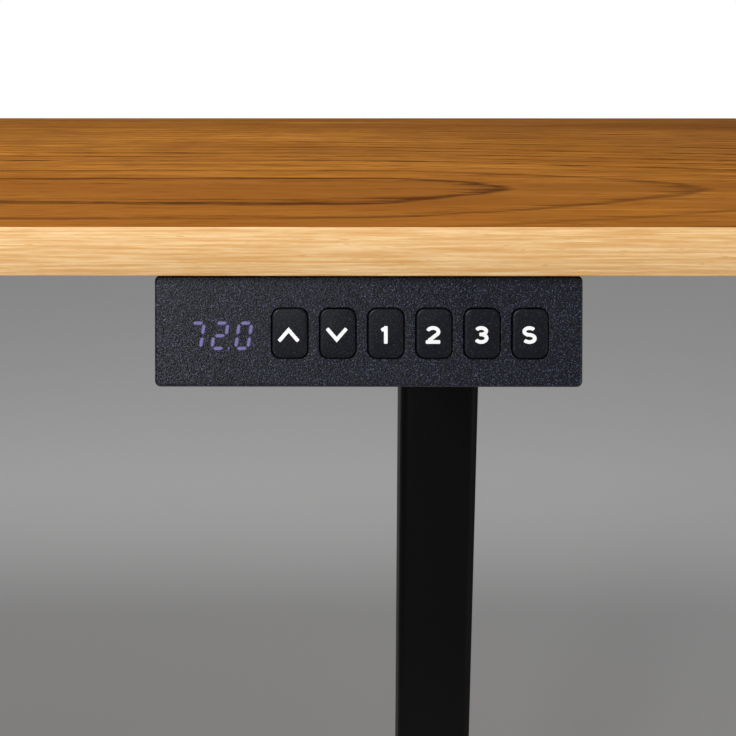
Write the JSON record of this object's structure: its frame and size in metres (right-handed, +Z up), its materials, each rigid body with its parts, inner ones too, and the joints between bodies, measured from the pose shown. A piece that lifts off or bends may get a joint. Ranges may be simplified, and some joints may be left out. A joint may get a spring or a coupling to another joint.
{
  "type": "height adjustable standing desk",
  "caption": "Standing desk: rectangular wood-grain top on two telescopic legs with T feet, raised by a motor, a cross shaft and lead screws, with a push-button keypad under the front edge.",
  "frame": {"origin": "on the floor, under the middle of the desktop", "axes": "+Z up; the user sits at -Y; +X to the user's right"},
  "size_m": [1.4, 0.6076, 0.72],
  "materials": {
    "desktop_laminate": "satin wood-grain laminate",
    "edge_oak": "satin oak-grain edge band",
    "frame_paint": "matte black powder coat",
    "column_paint": "matte black powder coat",
    "cast_head": "die-cast",
    "black_plastic": "fine-grain moulded",
    "keypad_plastic": "spark-eroded grain",
    "button_plastic": "satin",
    "display_plastic": "dark resin",
    "foot_rubber": "matte",
    "zinc_steel": "zinc plated",
    "black_screw": "black oxide",
    "ground_steel": "ground",
    "gear_steel": "oiled steel",
    "motor_steel": "black e-coat",
    "acetal": "natural acetal",
    "bronze": "sintered",
    "circuit_board": "solder mask",
    "lead_jacket": "soft PVC"
  },
  "bodies": {
    "base": {"foot_left": "frame_paint", "foot_right": "frame_paint", "foot_end_caps": "black_plastic", "left_lower_column": "column_paint", "right_lower_column": "column_paint", "foot_bolts": "zinc_steel", "guide_collars": "black_plastic", "nut_posts": "ground_steel", "lift_nuts": "acetal"},
    "top": {"tabletop": "desktop_laminate", "front_edge_band": "edge_oak", "back_edge_band": "edge_oak", "side_edge_bands": "edge_oak", "left_bracket": "frame_paint", "right_bracket": "frame_paint", "front_rail": "frame_paint", "back_rail": "frame_paint", "left_leg_head": "cast_head", "right_leg_head": "cast_head", "left_upper_column": "column_paint", "right_upper_column": "column_paint", "slide_blocks": "acetal", "screw_bearings": "ground_steel", "bushes": "bronze", "gearbox_case": "cast_head", "gearbox_cover": "black_plastic", "motor_can": "motor_steel", "motor_end_cap": "black_plastic", "control_box_tray": "black_plastic", "control_box_lid": "black_plastic", "control_board": "circuit_board", "control_box_ports": "black_plastic", "keypad_front": "keypad_plastic", "keypad_back": "black_plastic", "keypad_board": "circuit_board", "keypad_display": "display_plastic", "handset_lead": "lead_jacket", "motor_lead": "lead_jacket", "cable_clips": "black_plastic", "bracket_screws": "zinc_steel", "frame_bolts": "zinc_steel", "small_screws": "black_screw"},
    "left_screw": {"left_lead_screw": "ground_steel", "left_screw_gear": "gear_steel"},
    "right_screw": {"right_lead_screw": "ground_steel", "right_screw_gear": "gear_steel"},
    "drive_shaft": {"hex_shaft": "ground_steel", "shaft_gears": "gear_steel", "worm_wheel": "acetal"},
    "motor_spindle": {"motor_rotor": "gear_steel"},
    "button_up_cap": {"button_up": "button_plastic"},
    "button_down_cap": {"button_down": "button_plastic"},
    "button_1_cap": {"button_1": "button_plastic"},
    "button_2_cap": {"button_2": "button_plastic"},
    "button_3_cap": {"button_3": "button_plastic"},
    "button_s_cap": {"button_s": "button_plastic"},
    "leveller_front_left_foot": {"leveller_front_left": "foot_rubber"},
    "leveller_front_right_foot": {"leveller_front_right": "foot_rubber"},
    "leveller_back_left_foot": {"leveller_back_left": "foot_rubber"},
    "leveller_back_right_foot": {"leveller_back_right": "foot_rubber"}
  },
  "joints": [
    {"name": "lift", "type": "slide", "parent": "base", "child": "top", "axis": [0, 0, 1], "range_m": [0, 0.46]},
    {"name": "left_screw_spin", "type": "hinge", "parent": "top", "child": "left_screw", "pos_m": [-0.44, 0, 0.682], "axis": [0, 0, 1], "range_deg": [0, 16576.6]},
    {"name": "right_screw_spin", "type": "hinge", "parent": "top", "child": "right_screw", "pos_m": [0.44, 0, 0.682], "axis": [0, 0, 1], "range_deg": [-16576.6, 0]},
    {"name": "drive_shaft_spin", "type": "hinge", "parent": "top", "child": "drive_shaft", "pos_m": [0, 0, 0.682], "axis": [1, 0, 0], "range_deg": [0, 16576.6]},
    {"name": "motor_spin", "type": "hinge", "parent": "top", "child": "motor_spindle", "pos_m": [-0.366, 0.019, 0.682], "axis": [0, 0, 1], "range_deg": [-331531.2, 0]},
    {"name": "button_up_press", "type": "slide", "parent": "top", "child": "button_up_cap", "axis": [0, 0.9659, -0.2588], "range_m": [0, 0.0008], "stiffness_N_per_m": 1200, "springref_m": -0.0004},
    {"name": "button_down_press", "type": "slide", "parent": "top", "child": "button_down_cap", "axis": [0, 0.9659, -0.2588], "range_m": [0, 0.0008], "stiffness_N_per_m": 1200, "springref_m": -0.0004},
    {"name": "button_1_press", "type": "slide", "parent": "top", "child": "button_1_cap", "axis": [0, 0.9659, -0.2588], "range_m": [0, 0.0008], "stiffness_N_per_m": 1200, "springref_m": -0.0004},
    {"name": "button_2_press", "type": "slide", "parent": "top", "child": "button_2_cap", "axis": [0, 0.9659, -0.2588], "range_m": [0, 0.0008], "stiffness_N_per_m": 1200, "springref_m": -0.0004},
    {"name": "button_3_press", "type": "slide", "parent": "top", "child": "button_3_cap", "axis": [0, 0.9659, -0.2588], "range_m": [0, 0.0008], "stiffness_N_per_m": 1200, "springref_m": -0.0004},
    {"name": "button_s_press", "type": "slide", "parent": "top", "child": "button_s_cap", "axis": [0, 0.9659, -0.2588], "range_m": [0, 0.0008], "stiffness_N_per_m": 1200, "springref_m": -0.0004},
    {"name": "leveller_front_left_turn_out", "type": "slide", "parent": "base", "child": "leveller_front_left_foot", "axis": [0, 0, -1], "range_m": [0, 0.008]},
    {"name": "leveller_front_right_turn_out", "type": "slide", "parent": "base", "child": "leveller_front_right_foot", "axis": [0, 0, -1], "range_m": [0, 0.008]},
    {"name": "leveller_back_left_turn_out", "type": "slide", "parent": "base", "child": "leveller_back_left_foot", "axis": [0, 0, -1], "range_m": [0, 0.008]},
    {"name": "leveller_back_right_turn_out", "type": "slide", "parent": "base", "child": "leveller_back_right_foot", "axis": [0, 0, -1], "range_m": [0, 0.008]}
  ],
  "couplings": [
    {"joint": "left_screw_spin", "follows": "lift", "rad_per_m": 628.32},
    {"joint": "right_screw_spin", "follows": "lift", "rad_per_m": -628.32},
    {"joint": "drive_shaft_spin", "follows": "lift", "rad_per_m": 628.32},
    {"joint": "motor_spin", "follows": "lift", "rad_per_m": -12566}
  ]
}
